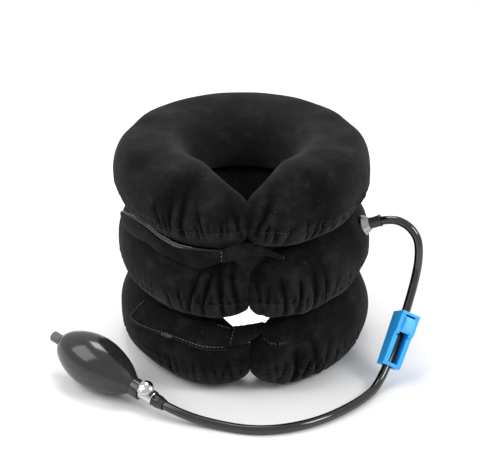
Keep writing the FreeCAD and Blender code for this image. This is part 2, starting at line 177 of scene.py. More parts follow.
# ---- materials ----
def make_material(name, colour, roughness, metallic=0.0, **sockets):
    """Principled material and its shader node; sockets are further values of the shader."""
    material = bpy.data.materials.new(name)
    material.use_nodes = True
    shader = material.node_tree.nodes["Principled BSDF"]
    shader.inputs["Base Color"].default_value = (*colour, 1)
    shader.inputs["Roughness"].default_value = roughness
    shader.inputs["Metallic"].default_value = metallic
    for socket, value in sockets.items():
        shader.inputs[socket.replace("_", " ")].default_value = value
    return material, shader


def add_node(material, kind, **values):
    """New node in a material; values are its sockets or, failing that, its settings."""
    node = material.node_tree.nodes.new(kind)
    for key, value in values.items():
        if key in node.inputs:
            node.inputs[key].default_value = value
        else:
            setattr(node, key, value)
    return node


def join(material, output, inlet):
    """Link one node's output to another's inlet."""
    material.node_tree.links.new(output, inlet)


def noise_of(material, scale, detail=3.0, rough=0.55, stretch=(1, 1, 1)):
    """Noise in the piece's own space, its size set by scale per metre."""
    place = add_node(material, "ShaderNodeTexCoord")
    mapping = add_node(material, "ShaderNodeMapping")
    mapping.inputs["Scale"].default_value = stretch
    join(material, place.outputs["Object"], mapping.inputs["Vector"])
    noise = add_node(material, "ShaderNodeTexNoise")
    noise.inputs["Scale"].default_value = scale
    noise.inputs["Detail"].default_value = detail
    noise.inputs["Roughness"].default_value = rough
    join(material, mapping.outputs["Vector"], noise.inputs["Vector"])
    return noise


def ramp_of(material, source, stops):
    """Colour ramp through (position, colour) stops."""
    ramp = add_node(material, "ShaderNodeValToRGB")
    elements = ramp.color_ramp.elements
    while len(elements) < len(stops):
        elements.new(0.5)
    for element, (position, colour) in zip(elements, stops):
        element.position = position
        element.color = (*colour, 1)
    join(material, source, ramp.inputs["Fac"])
    return ramp


def add_bump(material, shader, source, strength, distance):
    """Roughen the shader's surface by a height source; distance in metres."""
    bump = add_node(material, "ShaderNodeBump")
    bump.inputs["Strength"].default_value = strength
    bump.inputs["Distance"].default_value = distance
    join(material, source, bump.inputs["Height"])
    join(material, bump.outputs["Normal"], shader.inputs["Normal"])
    return bump


def grey(value):
    """Neutral colour."""
    return (value, value, value)


def make_velour():
    """Short-napped black fabric: lighter in brushed patches and lint specks, with painted sheen at grazing
    angles, painted highlights on fold crests and painted shade down in its folds.
    """
    material, shader = make_material(
        "velour", grey(0.004), 0.95,
        Sheen_Weight=0.09, Sheen_Roughness=0.40, Sheen_Tint=(0.60, 0.61, 0.64, 1),
        Specular_IOR_Level=0.08)
    brushed = noise_of(material, 45, 9, 0.74, (1, 1, 1.4))
    patches = ramp_of(material, brushed.outputs["Fac"],
                      [(0.34, grey(0.0026)), (0.50, grey(0.0052)), (0.68, grey(0.0145))])
    # Painted sheen: the base colour is lighter where the fabric is seen at a grazing angle.
    facing = add_node(material, "ShaderNodeLayerWeight")
    facing.inputs["Blend"].default_value = 0.28
    painted_grazing_sheen = ramp_of(material, facing.outputs["Facing"],
                  [(0.30, grey(0.0)), (0.80, grey(0.004)), (1.0, grey(0.012))])
    total = add_node(material, "ShaderNodeMix", data_type="RGBA", blend_type="ADD")
    total.inputs[0].default_value = 1.0
    join(material, patches.outputs["Color"], total.inputs[6])
    join(material, painted_grazing_sheen.outputs["Color"], total.inputs[7])
    fluff = noise_of(material, 420, 2, 0.5)
    specks = ramp_of(material, fluff.outputs["Fac"],
                     [(0.0, grey(0.0)), (0.725, grey(0.0)), (0.75, grey(0.04))])
    linted = add_node(material, "ShaderNodeMix", data_type="RGBA", blend_type="ADD")
    linted.inputs[0].default_value = 1.0
    join(material, total.outputs[2], linted.inputs[6])
    join(material, specks.outputs["Color"], linted.inputs[7])
    # Painted highlights from the painted light attribute: lighter on fold crests, on the lower panel and on
    # the side that faces the neck hole.
    painted_light_level = add_node(material, "ShaderNodeAttribute", attribute_name="painted_light")
    painted_highlight = ramp_of(material, painted_light_level.outputs["Fac"],
                    [(PAINTED_LIGHT_NEUTRAL, grey(0.0)), (0.56, grey(0.0045)), (1.0, grey(0.012))])
    painted_light = add_node(material, "ShaderNodeMix", data_type="RGBA", blend_type="ADD")
    painted_light.inputs[0].default_value = 1.0
    join(material, linted.outputs[2], painted_light.inputs[6])
    join(material, painted_highlight.outputs["Color"], painted_light.inputs[7])
    # Painted shade: the base colour is darkened down in fold valleys.
    valley = ramp_of(material, painted_light_level.outputs["Fac"], [(0.0, grey(0.15)), (0.24, grey(1.0))])
    painted_crease_shade = add_node(material, "ShaderNodeMix", data_type="RGBA", blend_type="MULTIPLY")
    painted_crease_shade.inputs[0].default_value = 1.0
    join(material, painted_light.outputs[2], painted_crease_shade.inputs[6])
    join(material, valley.outputs["Color"], painted_crease_shade.inputs[7])
    join(material, painted_crease_shade.outputs[2], shader.inputs["Base Color"])
    nap = noise_of(material, 900, 2, 0.6)
    add_bump(material, shader, nap.outputs["Fac"], 0.45, 0.0006)
    return material


def make_webbing():
    """Woven black tape."""
    material, shader = make_material("webbing", grey(0.012), 0.7, Specular_IOR_Level=0.3,
                                     Sheen_Weight=0.15)
    wave = add_node(material, "ShaderNodeTexWave", wave_type="BANDS", bands_direction="DIAGONAL")
    place = add_node(material, "ShaderNodeTexCoord")
    join(material, place.outputs["Object"], wave.inputs["Vector"])
    wave.inputs["Scale"].default_value = 260
    wave.inputs["Distortion"].default_value = 1.5
    wave.inputs["Detail"].default_value = 1
    shade = ramp_of(material, wave.outputs["Fac"], [(0.0, grey(0.008)), (1.0, grey(0.020))])
    join(material, shade.outputs["Color"], shader.inputs["Base Color"])
    add_bump(material, shader, wave.outputs["Fac"], 0.5, 0.0004)
    return material


def make_plain(name, colour, roughness, metallic=0.0, spread=0.25, bump=0.1, **sockets):
    """Solid colour broken up by faint mottling and a fine surface grain."""
    material, shader = make_material(name, colour, roughness, metallic, **sockets)
    mottle = noise_of(material, 60, 4)
    dark = tuple(c * (1 - spread) for c in colour)
    light = tuple(min(1.0, c * (1 + spread)) for c in colour)
    shade = ramp_of(material, mottle.outputs["Fac"], [(0.3, dark), (0.7, light)])
    join(material, shade.outputs["Color"], shader.inputs["Base Color"])
    polish = ramp_of(material, mottle.outputs["Fac"],
                     [(0.35, grey(max(0.0, roughness * 0.85))), (0.7, grey(min(1.0, roughness * 1.15)))])
    join(material, polish.outputs["Color"], shader.inputs["Roughness"])
    grain = noise_of(material, 1400, 2)
    add_bump(material, shader, grain.outputs["Fac"], bump, 0.0002)
    return material


VELOUR = make_velour()
WEBBING = make_webbing()
HOOK = make_plain("hook_yarn", grey(0.34), 0.8)
THREAD = make_plain("thread", grey(0.16), 0.6)
SEAM_THREAD = make_plain("seam_thread", grey(0.030), 0.7)
FRAY = make_plain("frayed_yarn", grey(0.14), 0.8)
RUBBER = make_plain("black_rubber", grey(0.019), 0.16, bump=0.04, Specular_IOR_Level=0.5)
TUBING = make_plain("hose_rubber", grey(0.006), 0.09, bump=0.02, Specular_IOR_Level=0.75)
CHROME = make_plain("plated_metal", grey(0.58), 0.14, 1.0, spread=0.06, bump=0.03)
TURNED = make_plain("turned_metal", grey(0.36), 0.24, 1.0, spread=0.06, bump=0.03)
DARK = make_plain("dark_plastic", (0.035, 0.037, 0.042), 0.42)
CAP_GREY = make_plain("grey_plastic", (0.085, 0.088, 0.088), 0.45)
BLUE = make_plain("blue_plastic", (0.035, 0.420, 1.0), 0.34, spread=0.06)
LIGHT_BLUE = make_plain("light_blue_plastic", (0.11, 0.52, 1.0), 0.40, spread=0.06)
STEEL = make_plain("steel", grey(0.6), 0.2, 1.0, spread=0.05)


# ---- mesh helpers ----
def mesh_object(name, points, faces, material):
    """Smooth-shaded piece from points and faces."""
    mesh = bpy.data.meshes.new(name)
    mesh.from_pydata([tuple(map(float, p)) for p in points], [], faces)
    mesh.update()
    mesh.materials.append(material)
    mesh.polygons.foreach_set("use_smooth", [True] * len(mesh.polygons))
    piece = bpy.data.objects.new(name, mesh)
    bpy.context.scene.collection.objects.link(piece)
    return piece


def grid_faces(rows, columns):
    """Quads over a grid of points whose rows are consecutive; each row closes on itself."""
    faces = []
    for r in range(rows - 1):
        for c in range(columns):
            d = (c + 1) % columns
            faces.append((r * columns + c, (r + 1) * columns + c, (r + 1) * columns + d, r * columns + d))
    return faces


def lofted(name, rings, material):
    """Closed skin through rings of equal size; the ends are closed with fans."""
    rings = np.asarray(rings)
    count, columns = rings.shape[:2]
    points = list(rings.reshape(-1, 3))
    faces = grid_faces(count, columns)
    for ring, flip in ((0, False), (count - 1, True)):
        centre = len(points)
        points.append(rings[ring].mean(axis=0))
        for c in range(columns):
            a = ring * columns + c
            b = ring * columns + (c + 1) % columns
            faces.append((centre, b, a) if flip else (centre, a, b))
    return mesh_object(name, points, faces, material)


def tube_along(name, points, radius, material, sides=28):
    """Round tube about a line of points."""
    rings = []
    side = None
    for i, p in enumerate(points):
        ahead = points[min(i + 1, len(points) - 1)] - points[max(i - 1, 0)]
        ahead.normalize()
        if side is None:
            side = ahead.orthogonal().normalized()
        side = (side - ahead * side.dot(ahead)).normalized()
        other = ahead.cross(side)
        rings.append([p + (side * math.cos(a) + other * math.sin(a)) * radius
                      for a in np.linspace(0, 2 * math.pi, sides, endpoint=False)])
    return lofted(name, rings, material)


# ---- the collar's plan and section ----
END_SHIFT = PLAN_RY - END_RADIUS
SIDE_SHIFT = (END_SHIFT ** 2 / (PLAN_RX - END_RADIUS) - (PLAN_RX - END_RADIUS)) / 2
SIDE_RADIUS = PLAN_RX + SIDE_SHIFT
SWITCH = math.degrees(math.atan2(END_SHIFT, SIDE_SHIFT))


def wrapped(angle):
    """The same angle between -180 and 180 degrees."""
    return (np.asarray(angle, float) + 180.0) % 360.0 - 180.0


def centreline(angle):
    """Points on the plan and outward directions; the angle turns from -Y towards +X."""
    angle = wrapped(angle)
    a = np.radians(angle)
    outward = np.stack([np.sin(a), -np.cos(a), np.zeros_like(a)], axis=-1)
    front = np.abs(angle) < 90 - SWITCH
    back = np.abs(angle) > 90 + SWITCH
    radius = np.where(front | back, END_RADIUS, SIDE_RADIUS)
    cx = np.where(front | back, 0.0, -SIDE_SHIFT * np.sign(angle))
    cy = np.where(front, -END_SHIFT, np.where(back, END_SHIFT, 0.0))
    centre = np.stack([cx, cy, np.zeros_like(cx)], axis=-1)
    return centre + outward * radius[..., None], outward


def arm_narrowing(angle):
    """0 where the tube is full, 1 at the end of either arm."""
    angle = wrapped(angle)
    side = np.where(angle > OPENING_ANGLE, 1.0, -1.0)
    full = side * (90 - SWITCH)
    tip = OPENING_ANGLE + side * ARM_GAP
    return np.clip((full - angle) / (full - tip), 0.0, 1.0)


def tube_section(angle):
    """Inner and outer reach, and bottom and top, of the tube's oval section."""
    u = arm_narrowing(angle)
    inner = -TUBE_HALF_WIDTH + ARM_INNER_TAPER * u ** 1.6
    outer = TUBE_HALF_WIDTH - ARM_OUTER_TAPER * u ** 3
    top = TUBE_HALF_HEIGHT - ARM_TOP_TAPER * u ** 1.6
    bottom = -TUBE_HALF_HEIGHT + ARM_BOTTOM_TAPER * u ** 3
    return inner, outer, bottom, top


def pressed(z, limit, sharpness):
    """Heights beyond the limit are pressed back to it, with a rounded edge."""
    return z / (1 + (np.abs(z) / limit) ** sharpness) ** (1 / sharpness)


class Folds:
    """Sewn-in pleats and gathers of one tier, as offsets outwards from its smooth form."""

    def __init__(self, seed, puckers, strength, gathers, creases, calm):
        rng = np.random.default_rng(seed)
        self.folds = []
        for k in range(puckers):
            at = 360.0 * (k + rng.uniform(-0.45, 0.45)) / puckers
            self.folds.append((at, rng.uniform(0.8, 1.5), rng.uniform(0.2, 0.7) * strength,
                               rng.uniform(4, 11), rng.uniform(4, 10), rng.uniform(-0.3, 0.3)))
        for first, last, pitch, depth, up, down in gathers:
            for at in np.arange(first, last, pitch):
                self.folds.append((at + pitch * rng.uniform(-0.35, 0.35), rng.uniform(1.1, 2.3),
                                   depth * rng.uniform(0.4, 1.25), up * rng.uniform(0.5, 1.35),
                                   down * rng.uniform(0.6, 1.4), rng.uniform(-0.3, 0.3)))
        self.folds += creases
        self.calm = calm
        self.waves = [(rng.integers(3, 16), rng.uniform(0, 6.3), rng.uniform(-2.5, 2.5))
                      for _ in range(12)]

    def offset(self, angle, z, above_seam):
        """Offset in millimetres; above_seam is the distance up the outside from the seam, in mm."""
        along = angle * 2.0
        result = np.zeros_like(above_seam)
        for at, width, depth, up, down, slant in self.folds:
            # Each fold is a sharp valley between two soft shoulders, wider away from the seam.
            d = along - at * 2.0 - slant * above_seam
            d = (d + 360.0) % 720.0 - 360.0
            reach = np.where(above_seam > 0, up, down)
            fade = np.exp(-(above_seam / reach) ** 2)
            spread = width * (0.8 + np.abs(above_seam) / 26)
            valley = np.exp(-np.abs(d) / spread)
            shoulders = np.exp(-((np.abs(d) - 2.6 * spread) / (1.4 * spread)) ** 2)
            result += depth * fade * (FOLD_SHOULDER * shoulders - FOLD_VALLEY * valley)
        for turns, phase, rise in self.waves:
            result += WAVE_HEIGHT * np.sin(np.radians(angle) * turns + phase + above_seam / 30 * rise)
        result = np.where(result < 0, -FOLD_DEEPEST * np.tanh(-result / FOLD_DEEPEST),
                          FOLD_HIGHEST * np.tanh(result / FOLD_HIGHEST))
        for first, last, low, high in self.calm:
            here = wrapped(angle)
            inside = 1 / (1 + np.exp((np.abs(here - (first + last) / 2) - (last - first) / 2) / 1.5))
            held = 1 / (1 + np.exp((np.abs(z - (low + high) / 2) - (high - low) / 2) / 1.5))
            result = result * (1 - HELD_FLAT * inside * held)
        return result


def seam_height(angle):
    """Height of the sewn seam over the middle of the tier."""
    return -SEAM_DROP + SEAM_RISE * arm_narrowing(angle)


def cover_point(tier, folds, sway, angle, polar):
    """Points on a tier's cover, from grids of angles round the collar and round the tube.

    Also returns the folds' height at each point, in mm, and a share of painted light: how far it belongs to
    the lower panel, which gets a painted sheen, plus painted light on the side that faces the neck hole.
    """
    point, outward = centreline(angle)
    inner, outer, bottom, top = tube_section(angle)
    if tier > 0:
        bottom = bottom - ARM_SAG * arm_narrowing(angle) ** 3
    q = (inner + outer) / 2 + (outer - inner) / 2 * np.cos(polar)
    z = (bottom + top) / 2 + (top - bottom) / 2 * np.sin(polar)
    z = pressed(z, TIER_LIMIT, 8)
    total = 360 - 2 * ARM_GAP
    s = (angle - OPENING_ANGLE - ARM_GAP) % 360
    # Rounding is 0 at the very end of an arm and 1 where the tube is full.
    near = np.minimum(s, total - s) * math.radians(1) * MEAN_RADIUS
    rounding = np.sqrt(np.clip(1 - (1 - np.clip(near / END_ROUND, 0, 1)) ** 2, 0, 1))
    scale = END_SCALE + (1 - END_SCALE) * rounding
    q_mid = (inner + outer) / 2
    z_mid = (bottom + top) / 2
    q = q_mid + (q - q_mid) * scale
    z = z_mid + (z - z_mid) * scale
    above = (z - seam_height(angle)) / MM
    # Folds and the seam's groove fade out towards the neck and where the next tier presses.
    outside = 1 / (1 + np.exp(-(q / MM + 4) / 5))
    groove = -0.9 * np.exp(-(above / 1.3) ** 2) + 0.5 * np.exp(-((np.abs(above) - 4.5) / 3.0) ** 2)
    fold = folds.offset(angle - OPENING_ANGLE, z / MM, above) * outside
    offset = fold + groove * outside + 0.1
    crowd = 1 / (1 + np.exp((np.abs(z / MM) - 33) / 1.2))
    offset = offset * MM * (0.15 + 0.85 * crowd) * (0.25 + 0.75 * rounding)
    q = q + offset * np.cos(polar)
    z = z + offset * np.sin(polar) * crowd
    points = point + outward * q[..., None]
    points[..., 2] += z + TIER_HEIGHT * (tier + 0.5)
    points[..., 0] += sway * MM
    # Painted sheen on the lower panel below the seam, plus painted light on the inner side, towards the neck
    # hole, where shade falls.
    lower = outside / (1 + np.exp((above + 1.5) / 0.7)) * crowd + 1.6 / (1 + np.exp((q / MM + 14) / 4))
    return points, fold * rounding, lower


def tier_cover(name, tier, folds, sway):
    """One inflated tier's fabric cover, with an attribute of painted light: painted highlights on fold
    crests, painted sheen on the lower panel, painted light on the inner side and painted shade in fold
    valleys.
    """
    tip_angles = np.array([0, 0.3, 0.8, 1.5, 2.4, 3.5, 4.8, 6.3])
    total = 360 - 2 * ARM_GAP
    body = np.linspace(7.5, total - 7.5, COVER_STEPS)
    s = np.concatenate([tip_angles, body, total - tip_angles[::-1]])
    angle = OPENING_ANGLE + ARM_GAP + s
    turn = np.linspace(0, 2 * np.pi, COVER_BANDS, endpoint=False)
    polar = turn - 0.4 * np.sin(turn)
    grid_angle, grid_polar = np.meshgrid(angle, polar, indexing="ij")
    points, ridge, lower = cover_point(tier, folds, sway, grid_angle, grid_polar)
    cover = lofted(name, points, VELOUR)
    painted_light = np.full(len(cover.data.vertices), PAINTED_LIGHT_NEUTRAL, dtype=np.float32)
    # Painted highlight on fold crests, painted sheen on the lower panel and painted light on the inner side.
    painted_highlight = (1 - PAINTED_LIGHT_NEUTRAL) * np.clip(np.clip(ridge / 2.5, -0.4, 1) + 0.42 * lower, 0, 1)
    # Painted shade down in fold valleys.
    valley = PAINTED_LIGHT_NEUTRAL * np.clip(ridge / 1.3, -1, 0)
    painted_light[:ridge.size] = (PAINTED_LIGHT_NEUTRAL + painted_highlight + valley).ravel()
    cover.data.attributes.new("painted_light", "FLOAT", "POINT").data.foreach_set("value", painted_light)
    return cover


# ---- sewing thread and loose fibres ----
def small_rods(name, starts, ends, radius, material, sides=5, taper=0.35):
    """Many short threads as one piece, each thick in the middle and thin at its ends."""
    points = []
    faces = []
    for start, end in zip(starts, ends):
        start = Vector(start)
        end = Vector(end)
        ahead = (end - start).normalized()
        side = ahead.orthogonal().normalized()
        other = ahead.cross(side)
        base = len(points)
        for f, r in ((0.0, taper), (0.3, 1.0), (0.7, 1.0), (1.0, taper)):
            centre = start.lerp(end, f)
            for k in range(sides):
                a = 2 * math.pi * k / sides
                points.append(centre + (side * math.cos(a) + other * math.sin(a)) * (radius * r))
        for ring in range(3):
            for k in range(sides):
                d = (k + 1) % sides
                row = base + ring * sides
                faces.append((row + k, row + d, row + sides + d, row + sides + k))
        faces.append(tuple(base + k for k in range(sides - 1, -1, -1)))
        faces.append(tuple(base + 3 * sides + k for k in range(sides)))
    return mesh_object(name, points, faces, material)


def stitch_row(line, outward, pitch, length, sink):
    """Starts and ends of stitches along a line of points, lying on the side they face."""
    line = np.asarray(line)
    outward = np.asarray(outward)
    steps = np.linalg.norm(np.diff(line, axis=0), axis=1)
    travelled = np.concatenate([[0], np.cumsum(steps)])
    count = max(1, int(travelled[-1] / pitch))
    middles = (np.arange(count) + 0.5) * travelled[-1] / count

    def sample(at):
        place = np.stack([np.interp(at, travelled, line[:, k]) for k in range(3)], axis=1)
        up = np.stack([np.interp(at, travelled, outward[:, k]) for k in range(3)], axis=1)
        return place - up * sink

    return sample(middles - length / 2), sample(middles + length / 2)


# ---- straps ----
def smooth_through(stations, count):
    """Samples of the smooth curve through the stations, one row each."""
    rows = np.asarray(stations, float)
    slope = np.gradient(rows, axis=0)
    t = np.linspace(0, len(rows) - 1, count)
    i = np.minimum(t.astype(int), len(rows) - 2)
    f = (t - i)[:, None]
    start = (2 * f ** 3 - 3 * f ** 2 + 1) * rows[i] + (f ** 3 - 2 * f ** 2 + f) * slope[i]
    end = (3 * f ** 2 - 2 * f ** 3) * rows[i + 1] + (f ** 3 - f ** 2) * slope[i + 1]
    return start + end


def bridging(stations, lift, bow=0.8):
    """Grid of points over a groove, from stations (angle, q low, z low, q high, z high) in mm."""
    angle, q0, z0, q1, z1 = smooth_through(stations, STRAP_STEPS).T
    across = np.linspace(0, 1, STRAP_ACROSS)
    point, outward = centreline(angle)
    q = q0[:, None] + (q1 - q0)[:, None] * across + lift + bow * np.sin(np.pi * across)
    z = z0[:, None] + (z1 - z0)[:, None] * across
    grid = point[:, None, :] + outward[:, None, :] * (q * MM)[..., None]
    grid[..., 2] += z * MM
    return grid


def lying(stations, tier, lift):
    """Grid of points on a tier's shoulder, from (low angle, low polar, high angle, high polar)."""
    a0, p0, a1, p1 = smooth_through(stations, STRAP_STEPS).T
    across = np.linspace(0, 1, STRAP_ACROSS)
    angle = a0[:, None] + (a1 - a0)[:, None] * across
    polar = np.radians(p0[:, None] + (p1 - p0)[:, None] * across)
    point, outward = centreline(angle)
    inner, outer, bottom, top = tube_section(angle)
    q = (inner + outer) / 2 + ((outer - inner) / 2 + lift * MM) * np.cos(polar)
    z = (bottom + top) / 2 + ((top - bottom) / 2 + lift * MM) * np.sin(polar)
    grid = point + outward * q[..., None]
    grid[..., 2] += z + TIER_HEIGHT * (tier + 0.5)
    return grid


def spanning(stations, lift):
    """Grid of points between two edges, from stations ((x, y, z) low, (x, y, z) high) in mm."""
    rows = [low + high for low, high in stations]
    samples = smooth_through(rows, STRAP_STEPS)
    across = np.linspace(0, 1, STRAP_ACROSS)[None, :, None]
    grid = samples[:, None, :3] * (1 - across) + samples[:, None, 3:] * across
    grid = grid + np.array([0, -0.45, 0.89]) * (lift + 0.5 * np.sin(np.pi * across))
    return grid * MM


def facing_of(grid, toward):
    """Unit normals of a grid of points, on the side that faces toward."""
    along = np.gradient(grid, axis=0)
    across = np.gradient(grid, axis=1)
    normal = np.cross(along, across)
    normal /= np.linalg.norm(normal, axis=-1, keepdims=True)
    middle = normal[len(grid) // 2, grid.shape[1] // 2]
    return normal if np.dot(middle, toward) > 0 else -normal


def ripple(grid, seed, height):
    """Small uneven waves for a grid of cloth, in metres."""
    rng = np.random.default_rng(seed)
    u = np.linspace(0, 1, grid.shape[0])[:, None]
    v = np.linspace(0, 1, grid.shape[1])[None, :]
    total = np.zeros(grid.shape[:2])
    for _ in range(8):
        turns, tilt, phase = rng.uniform(2, 16), rng.uniform(-3, 3), rng.uniform(0, 6.3)
        total += np.sin(turns * u * 2 + tilt * v + phase)
    return total * height / 5


def strip(name, grid, thickness, material, seed, height=0.35 * MM):
    """Strap of cloth: a grid given thickness, with rolled edges and ends; returns its outer face too."""
    normal = facing_of(grid, STRAP_FACES)
    grid = grid + normal * ripple(grid, seed, height)[..., None]
    steps, across = grid.shape[:2]
    v = np.linspace(-1, 1, across)
    u = np.linspace(-1, 1, steps)
    full = np.sqrt(np.clip(1 - v ** 12, 0, 1))[None, :] * np.sqrt(np.clip(1 - u ** 60, 0, 1))[:, None]
    half = (0.12 + 0.88 * full) * thickness / 2
    upper = grid + normal * half[..., None]
    lower = grid - normal * half[..., None]
    rings = np.concatenate([upper, lower[:, ::-1]], axis=1)
    columns = 2 * across
    faces = grid_faces(steps, columns)
    for row, flip in ((0, False), (steps - 1, True)):
        for k in range(across - 1):
            quad = (row * columns + k, row * columns + k + 1,
                    row * columns + columns - 2 - k, row * columns + columns - 1 - k)
            faces.append(quad if flip else quad[::-1])
    piece = mesh_object(name, list(rings.reshape(-1, 3)), faces, material)
    # The straps get the neutral level: no painted highlight or shade.
    painted_light = np.full(len(piece.data.vertices), PAINTED_LIGHT_NEUTRAL, dtype=np.float32)
    piece.data.attributes.new("painted_light", "FLOAT", "POINT").data.foreach_set("value", painted_light)
    return piece, upper, normal


def fit_out(piece, body):
    """The piece rides on a body and gets a mesh of its own."""
    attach(piece, body)
    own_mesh(piece)


def fringe(name, edge, away, count, shortest, longest, radius, seed, material):
    """Loose fibres along an edge of cloth."""
    rng = np.random.default_rng(seed)
    edge = np.asarray(edge)
    away = np.asarray(away)
    starts = []
    ends = []
    for _ in range(count):
        at = rng.uniform(0, len(edge) - 1.001)
        i = int(at)
        place = edge[i] + (edge[i + 1] - edge[i]) * (at - i)
        lean = away[i] + rng.normal(0, 0.45, 3)
        starts.append(place - away[i] * 0.4 * MM)
        ends.append(place + lean / np.linalg.norm(lean) * rng.uniform(shortest, longest))
    return small_rods(name, starts, ends, radius, material, sides=3, taper=0.4)


set_stage()

# ---- covers of the three tiers ----
# Each run of gathers is (first angle, last angle, pitch, depth, reach up, reach down), and each crease
# (angle past the opening, width, depth, reach up, reach down, slant); degrees and millimetres. No
# folds form in a calm stretch (first angle, last angle, lowest, highest), which a strap holds flat.
REST = (92, 268, 7.0, 0.6, 14, 10)       # gathers round the back of every tier
TIERS = (
    ("bottom", "base", 0.0, 1.5, dict(
        seed=11, puckers=96, strength=0.8, calm=[(-70, -4, 4, 30), (8, 26, 8, 30)],
        gathers=[REST, (-90, -40, 6.0, 0.5, 12, 10), (-40, -3, 4.4, 1.7, 10, 13), (4, 50, 4.2, 2.0, 16, 16),
                 (50, 90, 6.0, 0.5, 12, 12)],
        creases=[(22, 2.0, 2.2, 26, 20, 0.1), (34, 2.0, 2.0, 30, 18, -0.2)])),
    ("middle", "middle_tier", FITTING_HEIGHT, 0.5, dict(
        seed=12, puckers=92, strength=0.9, calm=[(-82, -6, 20, 40), (12, 27, 12, 32)],
        gathers=[REST, (-90, -40, 6.0, 0.5, 14, 10), (-40, -3, 5.4, 1.7, 18, 12), (4, 48, 4.1, 2.4, 22, 16),
                 (48, 90, 6.0, 0.6, 14, 13)],
        creases=[(24, 2.0, 3.2, 36, 14, 0.05), (33, 2.4, 2.8, 30, 18, -0.1),
                 (-7, 1.5, 3.0, 34, 12, -0.2), (-14, 1.5, 3.2, 36, 12, -0.1),
                 (-22, 1.5, 3.0, 34, 14, 0.2), (-29, 1.5, 2.8, 28, 14, 0.3)])),
    ("top", "top_tier", 3 * TIER_HEIGHT, -1.0, dict(
        seed=13, puckers=88, strength=0.7, calm=[(-82, -8, -40, -20)],
        gathers=[REST, (-90, -45, 6.0, 0.7, 8, 8), (-45, -20, 4.0, 1.8, 18, 10), (-18, -3, 4.4, 1.7, 12, 10),
                 (4, 60, 3.9, 1.6, 8, 16), (60, 90, 6.0, 0.8, 8, 10)],
        creases=[(-32, 1.8, 2.4, 30, 10, 0.1), (-5, 1.8, 2.2, 18, 14, -0.3), (5, 1.8, 2.4, 26, 10, 0.5)])),
)
for tier, (name, body, anchor, sway, look) in enumerate(TIERS):
    folds = Folds(**look)
    cover = tier_cover(name + "_tier_cover", tier, folds, sway)
    fit_out(cover, body)
    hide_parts(name + "_tier_lower_panel", name + "_tier_upper_panel", name + "_tier_bladder")

    seam_angle = np.linspace(OPENING_ANGLE + 4, OPENING_ANGLE + 356, 700)
    inner, outer, bottom, top = tube_section(seam_angle)
    rise = (seam_height(seam_angle) - (bottom + top) / 2 - 1.0 * MM) / ((top - bottom) / 2)
    seam_polar = np.arcsin(np.clip(rise, -0.95, 0.95))
    line = cover_point(tier, folds, sway, seam_angle, seam_polar)[0]
    outward = centreline(seam_angle)[1]
    starts, ends = stitch_row(line, outward, SEAM_PITCH, SEAM_STITCH, -0.1 * MM)
    seam = small_rods(name + "_tier_seam_stitches", starts, ends, SEAM_RADIUS, SEAM_THREAD)
    fit_out(seam, body)
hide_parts("lower_air_link")
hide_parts("upper_air_link")

# ---- middle strap ----
# Stations along each piece of the strap, at its low and high edge: angle, then reach out of the
# centre line and height, in degrees and millimetres.
TAPE_STATIONS = [
    (-77.5, 31, 143.5, 31, 149.5), (-70, 31, 139.5, 31, 154.2), (-61.5, 31, 139.5, 31, 158.8),
    (-51.4, 31, 141.5, 31, 159.2), (-43, 31, 138.5, 31, 155.2), (-37, 31, 138.5, 31, 153.4),
    (-32, 31, 136.5, 31, 152.2), (-24, 31, 134.5, 31, 152.4), (-17.5, 31, 137.5, 31, 152.6),
    (-11, 30.6, 144, 30.5, 153.0),
]
COVER_STATIONS = [
    (-77.6, 31, 143.4, 31, 148.0), (-70, 31, 137.3, 31, 152.6), (-61.5, 31, 138.6, 31, 156.7),
    (-51.4, 31, 140.6, 31, 157.2), (-43, 31, 137.0, 31, 151.8), (-37, 31, 137.5, 31, 149.6),
    (-32, 31, 135.6, 31, 148.8), (-24, 31, 132.8, 31, 150.6), (-17.5, 31, 135.6, 31, 151.8),
    (-10.4, 30.6, 142.6, 30.5, 153.2),
]
MIDDLE_BAND_STATIONS = [
    (-11.2, 30.6, 141.2, 30.4, 153.4), (-5, 27.2, 142.8, 26.9, 157.4), (1.2, 23.6, 143.8, 23.2, 158.4),
    (5.6, 19.6, 143.6, 19.3, 156.0), (9.4, 16.4, 142.4, 16.2, 151.6), (13.6, 15.0, 140.4, 15.2, 147.4),
    (17.5, 14.2, 137.4, 15.6, 143.4), (22, 13.0, 134.6, 15.6, 138.6),
]
# Stations on the arm's shoulder: angle round the collar and round the tube, at either edge.
MIDDLE_ANCHOR_STATIONS = [(15.2, 69, 15.2, 96), (19, 66, 19, 92), (24, 62, 24, 80)]


def edge_of(grid, share):
    """Points along a strap at a share of its width from its low edge."""
    return grid[:, round(share * (grid.shape[1] - 1))]


def strap_stitches(name, rows, body):
    """Stitches along rows of (points, normals) on a strap."""
    starts = []
    ends = []
    for points, normals in rows:
        first, last = stitch_row(points, normals, STITCH_PITCH, STITCH_LENGTH, 0.05 * MM)
        starts += list(first)
        ends += list(last)
    piece = small_rods(name, starts, ends, STITCH_RADIUS, THREAD)
    fit_out(piece, body)
    return piece


